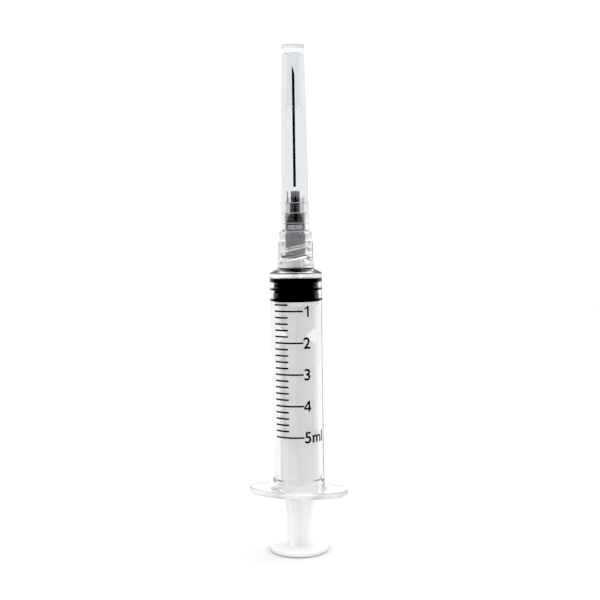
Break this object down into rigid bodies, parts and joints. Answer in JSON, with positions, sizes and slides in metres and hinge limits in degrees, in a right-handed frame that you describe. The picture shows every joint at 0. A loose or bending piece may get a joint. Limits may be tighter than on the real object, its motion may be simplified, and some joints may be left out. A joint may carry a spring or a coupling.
{
  "type": "luer lock syringe",
  "caption": "Clear luer lock syringe with rubber stopper, ribbed plunger, screw-on needle and pull-off cap, standing on its thumb press.",
  "frame": {"origin": "centre of the thumb press's lower face, on the syringe's axis", "axes": "+Z along the syringe towards the needle, finger flange longest along X, scale on the -Y side"},
  "size_m": [0.027, 0.0154, 0.1345],
  "materials": {
    "clear_barrel": "clear moulded polypropylene, smooth and glossy",
    "white_plunger": "translucent white moulded polypropylene, satin",
    "black_rubber": "black synthetic rubber with a wet sheen",
    "smoky_hub": "smoky grey translucent moulded polypropylene",
    "needle_steel": "drawn stainless steel tube",
    "pale_glue": "cured clear to milky adhesive",
    "clear_cap": "clear moulded polypropylene, smooth and glossy"
  },
  "bodies": {
    "barrel": {"barrel": "clear_barrel"},
    "plunger": {"plunger_rod": "white_plunger", "stopper": "black_rubber"},
    "needle_glue": {"adhesive_bead": "pale_glue"},
    "needle": {"needle_hub": "smoky_hub", "cannula": "needle_steel"},
    "cap": {"needle_cap": "clear_cap"}
  },
  "joints": [
    {"name": "plunger_slide", "type": "slide", "parent": "barrel", "child": "plunger", "axis": [0, 0, -1], "range_m": [0, 0.0474]},
    {"name": "needle_lift", "type": "slide", "parent": "barrel", "child": "needle_glue", "axis": [0, 0, 1], "range_m": [0, 0.01]},
    {"name": "hub_twist", "type": "hinge", "parent": "needle_glue", "child": "needle", "pos_m": [0, 0, 0.0785], "axis": [0, 0, 1], "range_deg": [0, 720]},
    {"name": "cap_pull", "type": "slide", "parent": "needle", "child": "cap", "axis": [0, 0, 1], "range_m": [0, 0.048]}
  ],
  "couplings": [
    {"joint": "hub_twist", "follows": "needle_lift", "rad_per_m": 1256.6}
  ]
}
